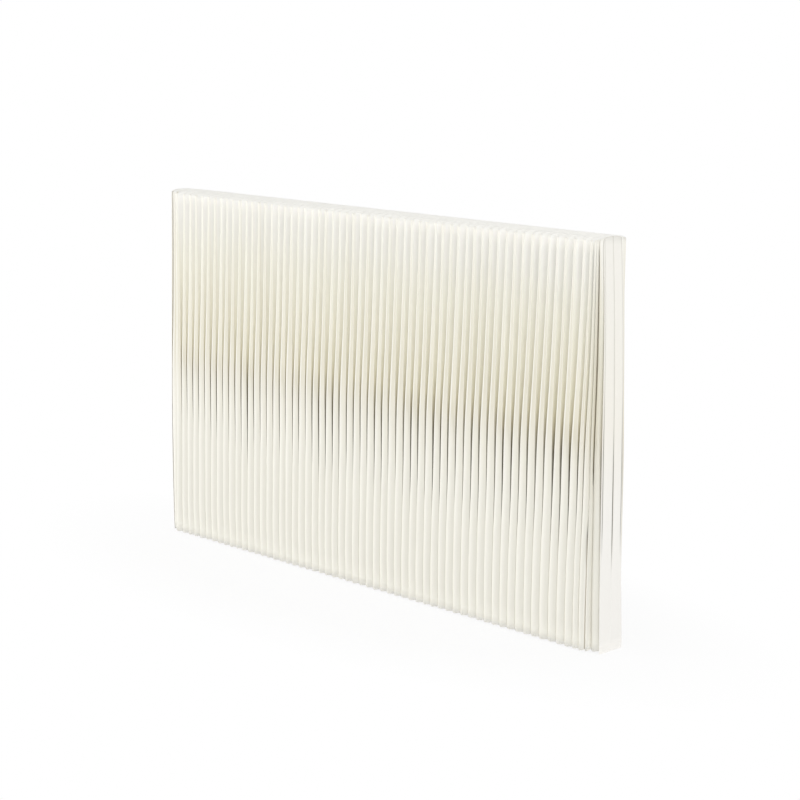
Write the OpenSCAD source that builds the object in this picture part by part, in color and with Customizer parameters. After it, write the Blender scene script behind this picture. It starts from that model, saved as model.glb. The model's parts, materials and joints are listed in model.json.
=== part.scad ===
// Free-standing pleated paper screen. A row of tall folded paper cells stands on edge. Each cell is
// one sheet folded into a tube with a pleat at the front and one at the back, and glued side to side
// to the next, so that the row draws out and pushes together like an accordion.
// The origin is at the middle of the base, +X runs along the length, and the front faces -Y.

/* [Screen] */
// Length over the end leaves, drawn right out
screen_l = 2000; // [1600:10:2400]
// Height of the paper
screen_h = 1230; // [900:10:1800]
// Depth from the front pleats to the back pleats
screen_t = 150; // [125:1:190]
// How far the paper drops from its top edge to the corners at the front and the back
corner_drop = 12; // [0:1:30]

/* [Pleats] */
// Depth of the groove between one pleat and the next
groove_d = 42; // [26:1:50]
// Width of a pleat's nose at the floor, as a share of its cell
nose_floor = 0.88; // [0.40:0.02:0.92]
// Width of the nose where the pleats swell most, as a share of the cell
nose_swell = 0.92; // [0.40:0.02:0.92]
// Width of the nose at mid height, as a share of the cell
nose_middle = 0.66; // [0.20:0.02:0.80]
// Width of the nose at the top, as a share of the cell
nose_top = 0.24; // [0.14:0.02:0.60]
// Depth over which a nose is rounded, as a share of half its width
nose_round = 0.55; // [0.20:0.05:0.60]
// Height at which the pleats swell most
swell_h = 350; // [200:10:500]
// Height of the section at which the pleats have drawn in to their middle width
middle_h = 680; // [560:10:820]

/* [Left end] */
// Widths of the two cells at the left end at the floor, from left to right, as shares of the pitch
left_floor_shares = [0.90, 1.07]; // [0.10:0.01:1.60]
// Their widths where the pleats swell most
left_swell_shares = [1.53, 0.81]; // [0.10:0.01:1.60]
// Their widths at mid height
left_middle_shares = [1.45, 0.92]; // [0.10:0.01:1.60]
// Their widths at the top
left_top_shares = [0.91, 1.46]; // [0.10:0.01:1.60]

/* [Right end] */
// Widths of the four cells at the right end at the floor, where its foot splays out
right_floor_shares = [0.66, 0.64, 0.40, 0.88]; // [0.10:0.01:1.50]
// Their widths where the pleats swell most
right_swell_shares = [0.63, 0.58, 0.21, 0.81]; // [0.10:0.01:1.50]
// Their widths at mid height
right_middle_shares = [0.63, 0.47, 0.13, 0.72]; // [0.10:0.01:1.50]
// Their widths at the top, which leans back
right_top_shares = [0.60, 0.12, 0.11, 0.20]; // [0.10:0.01:1.50]

/* [End leaves] */
// Width of an end leaf from front to back
leaf_t = 105; // [80:1:120]
// Depth of the crease down the middle of an end leaf, below its two bowed faces
crease_d = 4; // [1:0.5:8]
// Width from the bottom of the crease to where a face is bowed out
crease_w = 7; // [4:1:12]

/* [Paper] */
// Thickness of the pleated paper
paper = 0.4; // [0.3:0.1:1]
// Thickness of the stiffer paper of the end leaves
leaf = 1; // [0.6:0.1:2]
// Space that the glue takes between two cells, and between a cell and an end leaf
glue = 0.3; // [0.2:0.1:0.5]

/* [Hidden] */
// Two cells make one node, and the tool builds one node at a time.
CELLS_IN_NODE = 2;
PLEAT_NODES = 31;

cells = CELLS_IN_NODE * PLEAT_NODES;
end_room = glue / 2 + leaf + crease_d;
side = screen_t / 2 - groove_d;
// Each row is one section through the screen, from the floor up: its height, the nose's share of the
// cell, and the widths of the end cells.
sections = [
    [0, nose_floor, left_floor_shares, right_floor_shares],
    [swell_h, nose_swell, left_swell_shares, right_swell_shares],
    [middle_h, nose_middle, left_middle_shares, right_middle_shares],
    [screen_h, nose_top, left_top_shares, right_top_shares]
];
// The pleats next to an end leaf are drawn in towards its edges: their shares of the full depth.
left_depths = [0.75];
right_depths = [0.96, 0.87, 0.75];
// A fold of the paper can't be narrower than this many times its thickness.
least_fold = 3;
// The share of a nose's width that is flat.
nose_flat = 0.3;
// The share of the depth of a shallow groove that the rounding of a nose may take.
round_limit = 0.6;

function sum(list, upto) = upto <= 0 ? 0 : list[upto - 1] + sum(list, upto - 1);
function total(list) = sum(list, len(list));

full_cells = cells - len(left_top_shares) - len(right_floor_shares);
pitch =
    (screen_l - 2 * end_room)
    / (total(left_top_shares) + full_cells + total(right_floor_shares));
// The joints where the cells of full width begin and end stand upright.
first_full_x = -screen_l / 2 + end_room + pitch * total(left_top_shares);
last_full_x = first_full_x + pitch * full_cells;

// Where the joint before cell k stands in a section.
function joint_x(k, section) =
    let (
        left = section[2],
        right = section[3],
        past_full = k - len(left) - full_cells
    )
    k < len(left)
        ? first_full_x - pitch * (total(left) - sum(left, k))
        : past_full > 0
            ? last_full_x + pitch * sum(right, past_full)
            : first_full_x + pitch * (k - len(left));

// How far the noses of cell k stand from the middle of the screen.
function nose_y(k) =
    let (from_right = k - cells + len(right_depths))
    screen_t / 2
    * (k < len(left_depths) ? left_depths[k] : from_right >= 0 ? right_depths[from_right] : 1);

// The outline of cell k in a section, anticlockwise from above. Each nose is a flat with a bevel on
// either side, and the sides between the grooves are glued to the next cells.
function cell_outline(k, section) =
    let (
        left = joint_x(k, section) + glue / 2,
        right = joint_x(k + 1, section) - glue / 2,
        centre = (left + right) / 2,
        half = max(section[1] * (right - left), least_fold * paper) / 2,
        flat = nose_flat * half,
        tip = nose_y(k),
        bevel = tip - min(nose_round * half, round_limit * (tip - side))
    )
    [
        [centre - flat, -tip],
        [centre + flat, -tip],
        [centre + half, -bevel],
        [right, -side],
        [right, side],
        [centre + half, bevel],
        [centre + flat, tip],
        [centre - flat, tip],
        [centre - half, bevel],
        [left, side],
        [left, -side],
        [centre - half, -bevel]
    ];

function unit(v) = v / norm(v);
function turned(v) = [-v.y, v.x];

// A closed outline moved inwards by t, with mitred corners.
function inset(outline, t) =
    let (n = len(outline))
    [
        for (i = [0 : n - 1])
            let (
                before = turned(unit(outline[i] - outline[(i + n - 1) % n])),
                after = turned(unit(outline[(i + 1) % n] - outline[i]))
            )
            outline[i] + t * (before + after) / (1 + before * after)
    ];

// The outer and inner faces of a folded sheet meet the floor and the top in strips of the paper's
// thickness. outer and inner hold one list of points for each section, from the floor up.
module folded_sheet(outer, inner, closed) {
    sections_n = len(outer);
    n = len(outer[0]);
    runs = closed ? n : n - 1;
    all_points = concat([for (s = outer, p = s) p], [for (s = inner, p = s) p]);
    first_inner = sections_n * n;
    top = (sections_n - 1) * n;
    faces = concat(
        [
            for (s = [0 : sections_n - 2], i = [0 : runs - 1])
                let (a = s * n + i, b = s * n + (i + 1) % n, c = b + n, d = a + n)
                each [[a, c, b], [a, d, c]]
        ],
        [
            for (s = [0 : sections_n - 2], i = [0 : runs - 1])
                let (
                    a = first_inner + s * n + i,
                    b = first_inner + s * n + (i + 1) % n,
                    c = b + n,
                    d = a + n
                )
                each [[a, b, c], [a, c, d]]
        ],
        [
            for (i = [0 : runs - 1])
                let (a = i, b = (i + 1) % n, c = first_inner + b, d = first_inner + a)
                each [[a, b, c], [a, c, d]]
        ],
        [
            for (i = [0 : runs - 1])
                let (
                    a = top + i,
                    b = top + (i + 1) % n,
                    c = first_inner + b,
                    d = first_inner + a
                )
                each [[a, c, b], [a, d, c]]
        ],
        closed ? [] : [
            for (s = [0 : sections_n - 2])
                let (a = s * n, d = a + n, c = first_inner + d, b = first_inner + a)
                each [[a, b, c], [a, c, d]]
        ],
        closed ? [] : [
            for (s = [0 : sections_n - 2])
                let (a = s * n + n - 1, d = a + n, c = first_inner + d, b = first_inner + a)
                each [[a, c, b], [a, d, c]]
        ]
    );
    polyhedron(all_points, faces);
}

// An outline at its height. At the top its points drop towards the corners, which are at depth tip.
function raised(outline, z, tip) =
    [
        for (p = outline)
            let (drop = z < screen_h ? 0 : corner_drop * max(0, abs(p.y) - side) / (tip - side))
            [p.x, p.y, z - drop]
    ];

module cell(k) {
    outlines = [for (s = sections) cell_outline(k, s)];
    outer = [for (i = [0 : len(sections) - 1]) raised(outlines[i], sections[i][0], nose_y(k))];
    inner = [
        for (i = [0 : len(sections) - 1])
            raised(inset(outlines[i], paper), sections[i][0], nose_y(k))
    ];
    folded_sheet(outer, inner, true);
}

module pleats(number) {
    first = CELLS_IN_NODE * (number - 1);
    color("ivory")
        for (k = [first : first + CELLS_IN_NODE - 1])
            cell(k);
}

// An end leaf is a stiffer sheet with two bowed faces and a crease between them, along which it is
// glued to the last cell. side_x is -1 at the left end and 1 at the right, and depth is how far the
// line lies inside the sheet from the face that is glued.
function leaf_line(k, section, side_x, depth) =
    let (
        crease = joint_x(k, section) + side_x * (glue / 2 + depth),
        half = [
            [0, 0],
            [crease_w, 0.8],
            [leaf_t / 4, 1],
            [leaf_t / 2 - crease_w, 0.8],
            [leaf_t / 2, 0.3]
        ],
        mirrored = [for (i = [len(half) - 1 : -1 : 1]) [-half[i].x, half[i].y]]
    )
    [for (p = concat(mirrored, half)) [crease + side_x * crease_d * p.y, p.x]];

module end_leaf(k, side_x) {
    glued = [for (s = sections) raised(leaf_line(k, s, side_x, 0), s[0], leaf_t / 2)];
    outer = [for (s = sections) raised(leaf_line(k, s, side_x, leaf), s[0], leaf_t / 2)];
    color("floralwhite")
        folded_sheet(side_x > 0 ? outer : glued, side_x > 0 ? glued : outer, false);
}

module left_end_leaf() {
    end_leaf(0, -1);
}

module right_end_leaf() {
    end_leaf(cells, 1);
}

left_end_leaf();
for (i = [1 : PLEAT_NODES])
    pleats(i);
right_end_leaf();
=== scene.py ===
import json
import math

import bpy
import numpy as np
from mathutils import Matrix, Vector


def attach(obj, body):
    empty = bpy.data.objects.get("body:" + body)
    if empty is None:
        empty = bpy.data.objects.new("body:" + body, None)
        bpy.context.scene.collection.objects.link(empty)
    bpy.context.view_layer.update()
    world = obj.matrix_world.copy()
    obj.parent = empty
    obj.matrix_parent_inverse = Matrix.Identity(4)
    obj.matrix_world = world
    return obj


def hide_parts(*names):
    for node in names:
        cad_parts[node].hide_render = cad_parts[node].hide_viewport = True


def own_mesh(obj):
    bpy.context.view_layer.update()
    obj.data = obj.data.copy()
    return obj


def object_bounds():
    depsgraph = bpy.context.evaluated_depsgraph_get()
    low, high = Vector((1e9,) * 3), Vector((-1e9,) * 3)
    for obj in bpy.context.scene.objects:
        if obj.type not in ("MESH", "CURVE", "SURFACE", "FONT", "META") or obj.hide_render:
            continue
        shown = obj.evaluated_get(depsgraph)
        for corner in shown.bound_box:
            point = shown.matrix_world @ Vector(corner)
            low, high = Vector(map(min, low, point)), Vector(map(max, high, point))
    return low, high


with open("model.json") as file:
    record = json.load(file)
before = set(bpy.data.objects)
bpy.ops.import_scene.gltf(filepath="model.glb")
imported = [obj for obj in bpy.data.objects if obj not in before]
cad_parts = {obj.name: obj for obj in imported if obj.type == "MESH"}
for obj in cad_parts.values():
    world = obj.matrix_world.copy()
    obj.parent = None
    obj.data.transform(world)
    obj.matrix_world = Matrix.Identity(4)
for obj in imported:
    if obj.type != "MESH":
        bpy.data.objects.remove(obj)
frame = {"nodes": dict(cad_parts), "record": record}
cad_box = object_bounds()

# --- The pleated cells -----------------------------------------------------------------------
# Sixty-two tall cells, each one sheet of ivory paper folded into a tube with a nose at the front
# and one at the back, and glued side to side to the next. The noses are sharp ridges at the top and
# swell towards the floor, where the relaxed paper crowds until the lobes touch.

half_length = cad_box[1][0]
height = cad_box[1][2]
half_depth = cad_box[1][1]
paper = 0.0004
glue_gap = 0.0003
groove = 0.042
side = half_depth - groove
# How far in from the front the slit beside the last cell gets its darker painted shade.
slit_depth = 0.026
# The top falls by this much from the middle to the noses, and the foot rises by it from the noses
# to the middle. Both are flat up to dome_start from the middle, and go on from there as a quarter
# ellipse that stops just short of upright.
corner_drop = 0.013
dome_start = 0.015
arch_end = 0.995
# The rings of points of a sheet, and how they crowd towards the top.
sheet_rings = 42
ring_crowding = 1.15
leaf_sheet = 0.001
crease_depth = 0.004
joint_reach = half_length - glue_gap / 2 - leaf_sheet - crease_depth

# Widths of the end cells as shares of the pitch: at the floor, the swelling, mid height, the top.
section_heights = np.array([0.0, 0.350, 0.680, height])
left_widths = np.array([[0.90, 1.07], [1.53, 0.81], [1.45, 0.92], [0.91, 1.46]])
right_widths = np.array(
    [
        [0.66, 0.64, 0.40, 0.88],
        [0.63, 0.58, 0.21, 0.81],
        [0.63, 0.47, 0.13, 0.72],
        [0.60, 0.12, 0.11, 0.20],
    ]
)
left_depths = [0.75]
right_depths = [0.96, 0.87, 0.75]
leaf_half = 0.0525
# How far a full front nose falls back from its ridge to its left and right edge. The back noses are
# the front ones turned round.
nose_fall = (0.0050, 0.0070)
# How far the front noses lean to the left below the middle, and the back ones to the right.
nose_lean = 0.0042
# The ridge of a swollen nose stands left of its middle by this share of half its width.
ridge_share = 0.22
# A nose is never narrower than this on either side of its middle.
least_half_nose = 0.0007
pleat_groups = sorted(name for name in frame["nodes"] if name.startswith("pleats_"))
cells = 2 * len(pleat_groups)
full_cells = cells - left_widths.shape[1] - right_widths.shape[1]
pitch = 2 * joint_reach / (left_widths[-1].sum() + full_cells + right_widths[0].sum())
first_full = -joint_reach + pitch * left_widths[-1].sum()
last_full = first_full + pitch * full_cells


def eased(low, high, v):
    """0 below low, 1 above high, and 3t^2 - 2t^3 between."""
    t = np.clip((v - low) / (high - low), 0, 1)
    return t * t * (3 - 2 * t)


def joint_with_wander(k, z):
    """X of the joint before cell k at heights z, with the slow wave of its two glued cells.

    Near the ends of the row it is a cubic through its places in the four sections. Between them the
    joints are upright but for a lean of a few millimetres: to the right at the top and the floor,
    and to the left where the pleats swell.
    """
    random = np.random.default_rng(300 + k)
    along = k / cells
    lean = (0.06 + 0.10 * along) * eased(0.68, height, z)
    lean = lean - (0.02 + 0.09 * along) * eased(0.48, 0.26, z)
    lean = lean + (0.17 - 0.09 * along) * eased(0.14, 0.0, z)
    ends = min(k, cells - k, 3) / 3
    wave = 0.0009 * np.sin(random.uniform(0, 6.3) + z / height * random.uniform(2, 7))
    shift = ends * (pitch * lean + wave)
    left_count = left_widths.shape[1]
    past_full = k - left_count - full_cells
    if k < left_count:
        places = first_full - pitch * left_widths[:, k:].sum(axis=1)
    elif past_full > 0:
        places = last_full + pitch * right_widths[:, :past_full].sum(axis=1)
    else:
        return first_full + pitch * (k - left_count) + shift
    bend = np.polyval(np.polyfit(section_heights, places, 3), z)
    return np.clip(bend + shift, -joint_reach, joint_reach)


def nose_width(v):
    """A nose's width as a share of its cell, v being the way down from the top, 0 to 1."""
    down = [0.0, 0.10, 0.17, 0.25, 0.35, 0.40, 0.45, 0.50, 0.55, 0.60, 0.65, 0.69, 0.75, 1.0]
    width = [0.21, 0.25, 0.31, 0.40, 0.49, 0.57, 0.66, 0.755, 0.82, 0.86, 0.89, 0.92, 0.985, 0.96]
    return np.interp(v, down, width)


def outline_points(corners, reach, curve_points, edge_points):
    """Closed outlines with rounded corners, as (rings, points, 2).

    Each corner becomes a quadratic curve (1-t)^2 a + 2t(1-t) corner + t^2 b that leaves its edges
    at reach, and the straight run to the next curve gets edge_points points of its own.
    """
    before = np.roll(corners, 1, axis=1) - corners
    after = np.roll(corners, -1, axis=1) - corners
    long_before = np.linalg.norm(before, axis=2)
    long_after = np.linalg.norm(after, axis=2)
    a = corners + before * (np.minimum(reach, 0.47 * long_before) / long_before)[..., None]
    b = corners + after * (np.minimum(reach, 0.47 * long_after) / long_after)[..., None]
    t = np.linspace(0, 1, curve_points)[None, None, :, None]
    curve = (
        (1 - t) ** 2 * a[:, :, None] + 2 * t * (1 - t) * corners[:, :, None] + t**2 * b[:, :, None]
    )
    s = (np.arange(1, edge_points + 1) / (edge_points + 1))[None, None, :, None]
    run = (1 - s) * b[:, :, None] + s * np.roll(a, -1, axis=1)[:, :, None]
    return np.concatenate([curve, run], axis=2).reshape(len(corners), -1, 2)


def reach_of(k):
    """How far the noses of cell k stand from the middle, or the edges of the leaf past the ends."""
    if k < 0 or k >= cells:
        return leaf_half
    from_right = k - cells + len(right_depths)
    share = left_depths[k] if k < len(left_depths) else 1.0
    return half_depth * (right_depths[from_right] if from_right >= 0 else share)


def cell_walls(k):
    """The outer and inner faces of cell k, each as (rings, points, 4), from the floor up.

    The fourth value is the painted light: -1 on the folds beside a sharp nose, whitened partly as a
    crease's paler fibres and partly as painted highlight, and on the left flank of a swollen one, a
    painted highlight; 0 on the rest of a nose; 1 in a groove, painted shade from 3 mm inwards or 10
    mm beside a swollen nose; and 2 in a slit, a darker painted shade.
    """
    random = np.random.default_rng(700 + k)
    z = height * (1 - (1 - np.linspace(0, 1, sheet_rings)) ** ring_crowding)
    v = 1 - z / height
    swelling = eased(0.46, 0.78, v)
    # The slits close a few centimetres higher at the left end than at the right.
    early = 0.030 * (1 - 2 * k / cells)
    left = joint_with_wander(k, z) + glue_gap / 2
    right = joint_with_wander(k + 1, z) - glue_gap / 2
    half = (right - left) / 2
    centre = (left + right) / 2
    tip = reach_of(k)
    corners = []
    for facing in (-1, 1):
        share = nose_width(v + early + random.normal(0, 0.022))
        share = share * (1 + random.normal(0, 0.05) * (1 - v))
        from_end = k if facing < 0 else cells - 1 - k
        share = np.minimum(share, 0.99 if from_end > 3 else 0.95)
        width = np.maximum(share * half, least_half_nose)
        slack = np.maximum(half - width, 0)
        wander = 0.12 * slack * np.sin(random.uniform(0, 6.3) + v * random.uniform(2, 6))
        # The narrow cells at the right end have no room to lean at the back.
        leaning = min(k / 4, 1) if facing < 0 else min(max(cells - 4 - k, 0) / 12, 1)
        wander = wander + facing * nose_lean * leaning * eased(0.28, 0.52, v)
        bowed = swelling * np.minimum(width / (0.4 * pitch), 1)
        wave = 0.0006 * np.sin(random.uniform(0, 6.3) + v * random.uniform(2, 5))
        depth = tip - 0.0006 + wave
        first_edge = centre + wander + facing * width
        ridge = centre + wander + facing * ridge_share * width * bowed
        last_edge = centre + wander - facing * width
        corners += [
            np.stack([first_edge, facing * (depth - nose_fall[0] * bowed)], 1),
            np.stack([ridge, facing * (depth - 0.0003 * (1 - bowed))], 1),
            np.stack([last_edge, facing * (depth - nose_fall[1] * bowed)], 1),
            np.stack([right if facing < 0 else left, np.full_like(z, facing * side)], 1),
            np.stack([right if facing < 0 else left, np.full_like(z, -facing * side)], 1),
        ]
    corners = np.stack(corners, axis=1)
    edge_reach = 0.0012 + 0.0018 * eased(0.66, 0.80, v)
    ridge_reach = 0.0014 + 0.0140 * eased(0.40, 0.70, v)
    side_reach = np.full_like(v, 0.010)
    reach = np.stack([edge_reach, ridge_reach, edge_reach, side_reach, side_reach] * 2, axis=1)
    # The outline has ten corners with nine points each: a nose's two edges and ridge, then the two
    # ends of a glued side. The front nose comes first.
    outline = outline_points(corners, reach, 6, 3)
    # Painted highlight: the folds beside a sharp nose are whitened, partly as a crease's paler
    # fibres and partly as painted highlight, and the left flank of a swollen nose, which faces the
    # left lamp, is painted lighter.
    sharp_fold_white_and_highlight = np.zeros((10, 9))
    sharp_fold_white_and_highlight[[0, 5], 1:8] = 1
    sharp_fold_white_and_highlight[[2, 7], 1:5] = 0.8
    left_flank_highlight = np.zeros((10, 9))
    left_flank_highlight[[0, 5]] = 1
    left_flank_highlight[[1, 6], :6] = np.linspace(1, 0, 6)
    swollen = eased(0.44, 0.62, v)[:, None]
    crease_white_and_highlight = sharp_fold_white_and_highlight.ravel() * (1 - swollen) + left_flank_highlight.ravel() * swollen
    # The painted highlight on the folds of the last cell is faint, as the leaf shades them.
    if k == cells - 1:
        crease_white_and_highlight = 0.3 * crease_white_and_highlight
    on_right = np.zeros((10, 9), bool)
    on_right[2:6] = on_right[1, 3:] = on_right[6, :3] = True
    on_right = on_right.ravel()
    beside = np.where(on_right, reach_of(k + 1), reach_of(k - 1))
    groove_edge = np.minimum(beside, tip) - 0.0008 - nose_fall[1] * swelling[:, None]
    tangent = np.roll(outline, -1, axis=1) - np.roll(outline, 1, axis=1)
    inward = np.stack([-tangent[..., 1], tangent[..., 0]], axis=2)
    inward /= np.linalg.norm(inward, axis=2, keepdims=True)
    walls = []
    for plan in (outline, outline + paper * inward):
        off_middle = np.abs(plan[..., 1])
        towards_nose = np.clip((off_middle - dome_start) / (tip - dome_start), 0, 1)
        arch = corner_drop * np.sqrt(1 - arch_end * towards_nose**2)
        up = z[:, None] / height
        rise = z[:, None] + (arch - corner_drop) * up**16 + arch * (1 - up) ** 16
        # Painted shade in a groove, from just inside its edge.
        painted_shade = eased(-0.0004, 0.002, groove_edge - off_middle)
        # The last cell stands apart from its neighbour, and the slit between them gets a darker
        # painted shade all the way up. The painted shade in the one between it and the leaf is
        # paler than in the others.
        if k >= cells - 2:
            facing_slit = (on_right == (k == cells - 2)) & (plan[..., 1] < slit_depth - half_depth)
            painted_shade = painted_shade * np.where(facing_slit, 1 + eased(0.005, 0.030, v)[:, None], 1)
        if k == cells - 1:
            painted_shade = painted_shade * np.where(on_right, 0.45, 1)
        # Low down, the flank that the third last cell turns to its shallower neighbour gets painted
        # shade too.
        if k == cells - 3:
            flank = eased(0.003, 0.008, tip - off_middle) * (plan[..., 1] < 0) * on_right
            painted_shade = np.maximum(painted_shade, 1.6 * flank * eased(0.42, 0.32, z)[:, None])
        walls.append(np.dstack([plan, rise, painted_shade * (1 - crease_white_and_highlight) - crease_white_and_highlight]))
    return walls


def folded_mesh(name, sheets, closed):
    """An object of folded sheets. A sheet is its outer and inner face, each (rings, points, 4).

    The faces are joined along the floor and the top and, on an open sheet, down both edges. The
    fourth value of a point becomes the attribute that carries the painted shade and highlight.
    """
    points, quads, first = [], [], 0
    for outer, inner in sheets:
        rings, n = outer.shape[:2]
        out = np.arange(rings * n).reshape(rings, n)
        if closed:
            out = np.concatenate([out, out[:, :1]], axis=1)
        into = out + rings * n
        walls = [
            np.stack([out[:-1, :-1], out[:-1, 1:], out[1:, 1:], out[1:, :-1]], 2),
            np.stack([into[:-1, :-1], into[1:, :-1], into[1:, 1:], into[:-1, 1:]], 2),
            np.stack([out[:1, :-1], into[:1, :-1], into[:1, 1:], out[:1, 1:]], 2),
            np.stack([out[-1:, :-1], out[-1:, 1:], into[-1:, 1:], into[-1:, :-1]], 2),
        ]
        if not closed:
            walls += [
                np.stack([out[:-1, :1], out[1:, :1], into[1:, :1], into[:-1, :1]], 2),
                np.stack([out[:-1, -1:], into[:-1, -1:], into[1:, -1:], out[1:, -1:]], 2),
            ]
        quads.append(np.concatenate([wall.reshape(-1, 4) for wall in walls]) + first)
        points.append(np.concatenate([outer.reshape(-1, 4), inner.reshape(-1, 4)]))
        first += 2 * rings * n
    points, quads = np.concatenate(points), np.concatenate(quads)
    mesh = bpy.data.meshes.new(name)
    mesh.vertices.add(len(points))
    mesh.vertices.foreach_set("co", points[:, :3].astype(np.float32).ravel())
    mesh.loops.add(quads.size)
    mesh.loops.foreach_set("vertex_index", quads.ravel().astype(np.int32))
    mesh.polygons.add(len(quads))
    mesh.polygons.foreach_set("loop_start", np.arange(0, quads.size, 4, dtype=np.int32))
    mesh.polygons.foreach_set("use_smooth", np.ones(len(quads), bool))
    mesh.update(calc_edges=True)
    fold = mesh.attributes.new("fold", "FLOAT", "POINT")
    fold.data.foreach_set("value", points[:, 3].astype(np.float32))
    piece = bpy.data.objects.new(name, mesh)
    bpy.context.scene.collection.objects.link(piece)
    return piece


class Wire:
    """An output socket that takes part in ordinary sums, each of which adds its Math node."""

    def __init__(self, tree, socket):
        self.tree = tree
        self.socket = socket

    def math(self, operation, *values):
        node = self.tree.nodes.new("ShaderNodeMath")
        node.operation = operation
        for at, value in enumerate(values):
            if isinstance(value, Wire):
                self.tree.links.new(value.socket, node.inputs[at])
            else:
                node.inputs[at].default_value = value
        return Wire(self.tree, node.outputs[0])

    def __add__(self, other):
        return self.math("ADD", self, other)

    def __radd__(self, other):
        return self.math("ADD", other, self)

    def __sub__(self, other):
        return self.math("SUBTRACT", self, other)

    def __rsub__(self, other):
        return self.math("SUBTRACT", other, self)

    def __mul__(self, other):
        return self.math("MULTIPLY", self, other)

    def __rmul__(self, other):
        return self.math("MULTIPLY", other, self)


class Nodes:
    """The emptied node tree of a material or a world, and one method that adds any node to it."""

    def __init__(self, owner):
        owner.use_nodes = True
        self.tree = owner.node_tree
        self.tree.nodes.clear()

    def add(self, kind, settings=None, sockets=None, output=0):
        """Adds a node of this kind, applies its settings, then fills sockets by name or number.

        The setting stops is a ramp's list of positions and colours.
        """
        node = self.tree.nodes.new("ShaderNode" + kind)
        for name, value in (settings or {}).items():
            if name == "stops":
                elements = node.color_ramp.elements
                elements.remove(elements[1])
                elements[0].position, elements[0].color = value[0][0], (*value[0][1], 1.0)
                for position, colour in value[1:]:
                    elements.new(position).color = (*colour, 1.0)
            else:
                setattr(node, name, value)
        for key, value in (sockets or {}).items():
            if isinstance(value, Wire):
                self.tree.links.new(value.socket, node.inputs[key])
            else:
                node.inputs[key].default_value = value
        return Wire(self.tree, node.outputs[output]) if node.outputs else node


def paper_with_painted_light(name, open_tone_and_light, painted_sunk_stops, glow_stops, mottle, bump_strength):
    """Uncoated paper, whose colour changes with the height and with the depth in a groove, and
    which carries painted light and shade.

    The three lists of stops are ramps over the height share: the open tone of the noses, which on
    the pleats carries painted light, palest at the floor and the top; the painted shade of the
    grooves or creases, with painted light above and below it; and a painted glow that stands for
    the light that comes through the walls of the grooves. Soft clouds and fine fibres vary the
    tones by a few hundredths. The fibres lie along the sheet's height, so their noise is stretched
    upwards. mottle is the scale of the clouds, and bump_strength the depth of the surface's tooth.
    """
    material = bpy.data.materials.new(name)
    # Painted shade for the slits, and the white of the folds, partly a crease's paler fibres and
    # partly painted highlight.
    slit_shade_colour = (0.38, 0.32, 0.22, 1.0)
    crease_white_and_highlight_colour = (0.970, 0.950, 0.880, 1.0)
    cloud_colour = (0.80, 0.77, 0.70, 1.0)
    finish = Nodes(material)
    place = finish.add("TexCoord", output="Object")
    along = finish.add("Mapping", sockets={"Vector": place, "Scale": (1.0, 1.0, 0.15)})
    clouds = finish.add("TexNoise", sockets={"Vector": place, "Scale": mottle, "Detail": 3.0})
    fibres = finish.add("TexNoise", sockets={"Vector": along, "Scale": 380.0, "Detail": 4.0})
    tooth = finish.add("TexNoise", sockets={"Vector": place, "Scale": 900.0, "Detail": 2.0})
    level = finish.add("SeparateXYZ", sockets={"Vector": place}, output="Z") * (1 / height)
    fold = finish.add("Attribute", {"attribute_name": "fold"}, output="Fac")
    painted_shade_weight = fold.math("MAXIMUM", fold, 0.0)
    # Sockets 6 and 7 of a Mix are its two colours, and output 2 is the mixed one.
    # Painted light and shade: the groove ramp takes over where the attribute is above 0.
    tone = finish.add(
        "Mix",
        {"data_type": "RGBA"},
        {
            "Factor": painted_shade_weight,
            6: finish.add("ValToRGB", {"stops": open_tone_and_light}, {"Fac": level}),
            7: finish.add("ValToRGB", {"stops": painted_sunk_stops}, {"Fac": level}),
        },
        output=2,
    )
    # A darker painted shade in the slits, where the attribute is above 1.
    shaded = finish.add(
        "Mix",
        {"data_type": "RGBA"},
        {"Factor": fold.math("MAXIMUM", fold - 1.0, 0.0), 6: tone, 7: slit_shade_colour},
        output=2,
    )
    # Painted highlight on the folds and left flanks, partly a crease's paler fibres.
    with_crease_white_and_highlight = finish.add(
        "Mix",
        {"data_type": "RGBA"},
        {"Factor": fold.math("MAXIMUM", 0.0 - fold, 0.0), 6: shaded, 7: crease_white_and_highlight_colour},
        output=2,
    )
    colour = finish.add(
        "Mix",
        {"data_type": "RGBA", "blend_type": "MULTIPLY"},
        {"Factor": 0.08 * clouds + 0.06 * fibres, 6: with_crease_white_and_highlight, 7: cloud_colour},
        output=2,
    )
    bump = finish.add(
        "Bump", sockets={"Strength": bump_strength, "Distance": 0.0002, "Height": fibres + tooth}
    )
    # The emission is a painted glow, standing for the light that the white floor throws back at the
    # foot and that comes through the walls of the grooves near the open tops.
    surface = finish.add(
        "BsdfPrincipled",
        sockets={
            "Base Color": colour,
            "Roughness": 0.74 + 0.16 * tooth,
            "Specular IOR Level": 0.22,
            "Normal": bump,
            "Emission Color": finish.add(
                "Mix",
                {"data_type": "RGBA"},
                {
                    "Factor": painted_shade_weight,
                    6: finish.add("ValToRGB", {"stops": foot_glow}, {"Fac": level}),
                    7: finish.add("ValToRGB", {"stops": foot_glow + glow_stops}, {"Fac": level}),
                },
                output=2,
            ),
            "Emission Strength": 1.0,
        },
    )
    finish.add("OutputMaterial", sockets={"Surface": surface})
    return material


# All tones run from the floor up. The glow at the foot stands for the light that a white floor
# throws back.
foot_glow = [
    (0.000, (0.260, 0.257, 0.247)),
    (0.006, (0.160, 0.158, 0.152)),
    (0.015, (0.055, 0.055, 0.052)),
    (0.030, (0.000, 0.000, 0.000)),
]
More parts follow.
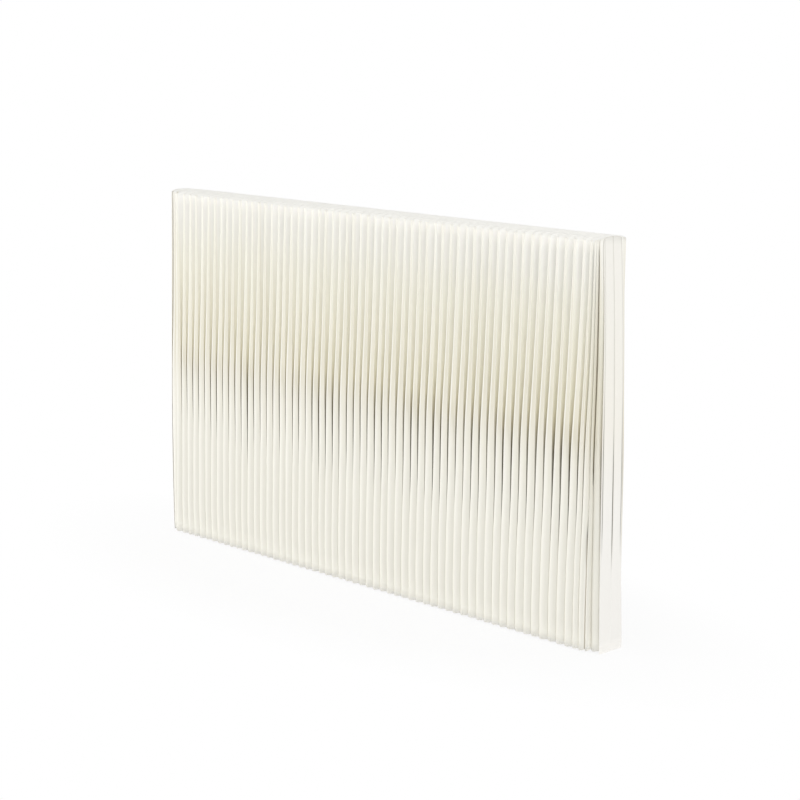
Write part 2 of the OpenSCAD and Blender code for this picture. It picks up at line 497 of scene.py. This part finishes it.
# The noses carry painted light: they are palest at the floor and the top, where light from the
# floor and the open tops falls, and darker in the middle. The grooves carry painted shade, warm and
# dark in the slits of the middle, and painted light, pale below and above them, and a painted glow
# a little near the open tops of the cells.
nose_tone_and_painted_light = [
    (0.00, (0.985, 0.970, 0.910)),
    (0.03, (0.890, 0.876, 0.805)),
    (0.06, (0.845, 0.831, 0.760)),
    (0.34, (0.845, 0.829, 0.750)),
    (0.50, (0.840, 0.808, 0.705)),
    (0.62, (0.805, 0.772, 0.645)),
    (0.85, (0.868, 0.840, 0.725)),
    (1.00, (0.960, 0.943, 0.878)),
]
groove_painted_light_and_shade = [
    (0.00, (0.950, 0.935, 0.875)),
    (0.20, (0.950, 0.935, 0.875)),
    (0.26, (0.550, 0.535, 0.480)),
    (0.31, (0.150, 0.142, 0.115)),
    (0.42, (0.120, 0.106, 0.076)),
    (0.47, (0.250, 0.224, 0.158)),
    (0.52, (0.620, 0.570, 0.420)),
    (0.56, (0.830, 0.790, 0.630)),
    (0.60, (0.905, 0.875, 0.740)),
    (0.66, (0.950, 0.925, 0.815)),
    (0.80, (0.980, 0.968, 0.895)),
    (0.90, (0.985, 0.978, 0.940)),
    (1.00, (0.995, 0.990, 0.968)),
]
glow_tones = [
    (0.55, (0.000, 0.000, 0.000)),
    (0.72, (0.010, 0.010, 0.008)),
    (0.96, (0.012, 0.012, 0.010)),
    (0.99, (0.085, 0.083, 0.072)),
]
pleat_paper = paper_with_painted_light("pleat_paper", nose_tone_and_painted_light, groove_painted_light_and_shade, glow_tones, 4.0, 0.20)

joint_of = {joint["child"]: joint for joint in frame["record"]["behaviour"]["joints"]}
body_of = {
    node: body for body, nodes in frame["record"]["behaviour"]["bodies"].items() for node in nodes
}
root_joint = joint_of["right_end"]
travel = -root_joint["range_m"][0]
pushed_together = 1 - travel / (2 * joint_reach)
for group, node in enumerate(pleat_groups):
    pleats = folded_mesh(f"paper_{node}", [cell_walls(2 * group), cell_walls(2 * group + 1)], True)
    pleats.data.materials.append(pleat_paper)
    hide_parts(node)
    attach(pleats, body_of[node])
    # The first pair rides on the left end, which has no joint. The root joint holds its fixed end.
    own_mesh(pleats)

# --- The end leaves --------------------------------------------------------------------------
# A stiffer sheet of whiter paper closes each end. It is folded once down its middle, glued along
# that crease to the last cell, and its two faces bow out between the crease and their edges.

face_tones = [
    (0.00, (0.955, 0.940, 0.905)),
    (0.35, (0.955, 0.940, 0.900)),
    (0.55, (0.945, 0.920, 0.850)),
    (1.00, (0.945, 0.930, 0.875)),
]
# Painted shade in the leaf's crease and along the soft fold near each edge, darkest low down.
painted_crease_shade = [
    (0.00, (0.240, 0.228, 0.195)),
    (0.50, (0.200, 0.185, 0.150)),
    (1.00, (0.500, 0.480, 0.420)),
]
leaf_paper = paper_with_painted_light("leaf_paper", face_tones, painted_crease_shade, [], 3.0, 0.12)
# The soft fold along each edge lies this far in from it.
edge_fold = 0.0048
leaf_columns = 141


def leaf_faces(k, facing, taper):
    """The outer and inner faces of the leaf at joint k, facing -1 or 1 along X.

    Across its width a face stands out by 0.86 sin(pi s)^0.5 + 0.14 s, s running from the crease to
    the edge, and most at mid height. The edges come in by taper, the back one from the foot up and
    the front one towards the top. The fourth value is the painted shade: 1 in the crease, and at a
    soft fold close to each edge, where these are deepest.
    """
    z = height * np.linspace(0, 1, sheet_rings)[:, None]
    v = 1 - z / height
    front = leaf_half - taper * eased(0.45 * height, height, z)
    back = leaf_half - taper * eased(0.02 * height, 0.30 * height, z)
    across = np.linspace(-1, 1, leaf_columns)[None, :]
    reach = np.where(across < 0, front, back)
    y = reach * across
    s = np.abs(across)
    bulge = 0.86 * np.sin(math.pi * s) ** 0.5 + 0.14 * s
    strength = 0.30 + 0.40 * eased(0.12, 0.40, v) * (1 - eased(0.62, 0.92, v))
    glued = joint_with_wander(k, z) + facing * (glue_gap / 2 + crease_depth * bulge * strength)
    drop = corner_drop * (1 - np.sqrt(1 - arch_end * np.clip((s - 0.35) / 0.65, 0, 1) ** 2))
    rise = z - drop * (z / height) ** 16
    crease_shade = eased(0.22, 0.36, z) * (1 - 0.65 * eased(0.50, 0.70, z))
    edge_shade = eased(0.26, 0.40, z) * (1 - 0.55 * eased(0.62, 0.80, z))
    # Painted shade in the crease and at the soft folds near the edges.
    painted_shade = crease_shade * eased(0.0030, 0.0012, np.abs(y))
    off_fold = np.abs(np.abs(y) - reach + edge_fold)
    painted_shade = painted_shade + 0.8 * edge_shade * eased(0.0024, 0.0008, off_fold)
    near = np.dstack([glued, y, rise, painted_shade])
    far = np.dstack([glued + facing * leaf_sheet, y, rise, painted_shade])
    return (far, near) if facing > 0 else (near, far)


for node, k, facing, taper in (
    ("left_end_leaf", 0, -1, 0.0),
    ("right_end_leaf", cells, 1, 0.010),
):
    leaf = folded_mesh(f"paper_{node}", [leaf_faces(k, facing, taper)], False)
    leaf.data.materials.append(leaf_paper)
    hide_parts(node)
    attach(leaf, body_of[node])
    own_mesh(leaf)

# --- The studio floor ------------------------------------------------------------------------
# A seamless white floor, which the camera sees as plain white with the screen's soft shadow on it.

floor_reach = 60.0
floor_mesh = bpy.data.meshes.new("studio_floor")
floor_mesh.from_pydata(
    [
        (-floor_reach, -floor_reach, 0),
        (floor_reach, -floor_reach, 0),
        (floor_reach, floor_reach, 0),
        (-floor_reach, floor_reach, 0),
    ],
    [],
    [(0, 1, 2, 3)],
)
floor = bpy.data.objects.new("studio_floor", floor_mesh)
bpy.context.scene.collection.objects.link(floor)


def in_sight(nodes):
    """1 for the camera's own rays, also by way of a gloss or through glass, and 0 for light."""
    rays = ("Camera", "Glossy", "Transmission")
    camera, gloss, glass = (nodes.add("LightPath", output=f"Is {ray} Ray") for ray in rays)
    return camera.math("MAXIMUM", camera.math("MAXIMUM", camera, gloss), glass)


white_floor = bpy.data.materials.new("white_floor")
ground = Nodes(white_floor)
matt = ground.add("BsdfDiffuse", sockets={"Color": (0.90, 0.90, 0.90, 1.0)})
white = ground.add("Emission", sockets={"Color": (1.0, 1.0, 1.0, 1.0), "Strength": 1.0})
# The shadow shows close to the screen only: the distance is measured in ellipses round it.
spot = ground.add("TexCoord", output="Object")
ellipse = ground.add("Mapping", sockets={"Vector": spot, "Scale": (0.75, 1.6, 1.0)})
distance = ground.add("VectorMath", {"operation": "LENGTH"}, {0: ellipse}, output="Value")
away = ground.add("MapRange", {"clamp": True}, {0: distance, 1: 0.7, 2: 1.2, 3: 0.88, 4: 1.0})
floor_face = ground.add("MixShader", sockets={"Fac": in_sight(ground) * away, 1: matt, 2: white})
ground.add("OutputMaterial", sockets={"Surface": floor_face})
floor_mesh.materials.append(white_floor)

# --- The studio light ------------------------------------------------------------------------
# White walls all round give an even light. A soft box far to the left brightens the left flank of
# each pleat, and one at the right lights the end leaf.

world = bpy.data.worlds.new("studio_walls")
bpy.context.scene.world = world
studio = Nodes(world)
lit = studio.add("Background", sockets={"Color": (1.0, 1.0, 1.0, 1.0), "Strength": 0.785})
plain = studio.add("Background", sockets={"Color": (1.0, 1.0, 1.0, 1.0), "Strength": 1.0})
backdrop = studio.add("MixShader", sockets={"Fac": in_sight(studio), 1: lit, 2: plain})
studio.add("OutputWorld", sockets={"Surface": backdrop})


def soft_box(name, place, aim, size, power):
    """A rectangular lamp at place that faces the point aim."""
    lamp = bpy.data.lights.new(name, "AREA")
    lamp.shape = "RECTANGLE"
    lamp.size, lamp.size_y = size
    lamp.energy = power
    box = bpy.data.objects.new(name, lamp)
    box.location = place
    box.rotation_euler = (Vector(aim) - Vector(place)).to_track_quat("-Z", "Y").to_euler()
    bpy.context.scene.collection.objects.link(box)


soft_box("left_box", (-8.0, -8.0, 3.5), (0, 0, 0.6), (5.0, 4.0), 360)
soft_box("right_box", (7.5, -1.8, 2.5), (0, 0, 0.6), (3.0, 3.0), 92)

# --- The camera ------------------------------------------------------------------------------
# It stands in front of the right end at the height of a standing eye, and looks down a little.

camera_place = (4.511364, -4.490541, 1.815055)
heading = 2.3471919
pitch_down = 0.1865254
roll = 0.0192097
focal_pixels = 1989.10
picture_pixels = 800
forward = Vector(
    (
        math.cos(pitch_down) * math.cos(heading),
        math.cos(pitch_down) * math.sin(heading),
        -math.sin(pitch_down),
    )
)
sideways = Vector((math.sin(heading), -math.cos(heading), 0))
above = sideways.cross(forward)
right_hand = math.cos(roll) * sideways + math.sin(roll) * above
turn = Matrix((right_hand, right_hand.cross(forward), -forward)).transposed()
camera_data = bpy.data.cameras.new("camera")
camera_data.sensor_width = 36
camera_data.lens = camera_data.sensor_width * focal_pixels / picture_pixels
# The floor's far corners are about 90 m away.
camera_data.clip_end = 300
camera = bpy.data.objects.new("camera", camera_data)
camera.matrix_world = Matrix.Translation(camera_place) @ turn.to_4x4()
bpy.context.scene.collection.objects.link(camera)
bpy.context.scene.camera = camera
bpy.context.scene.view_settings.view_transform = "Standard"
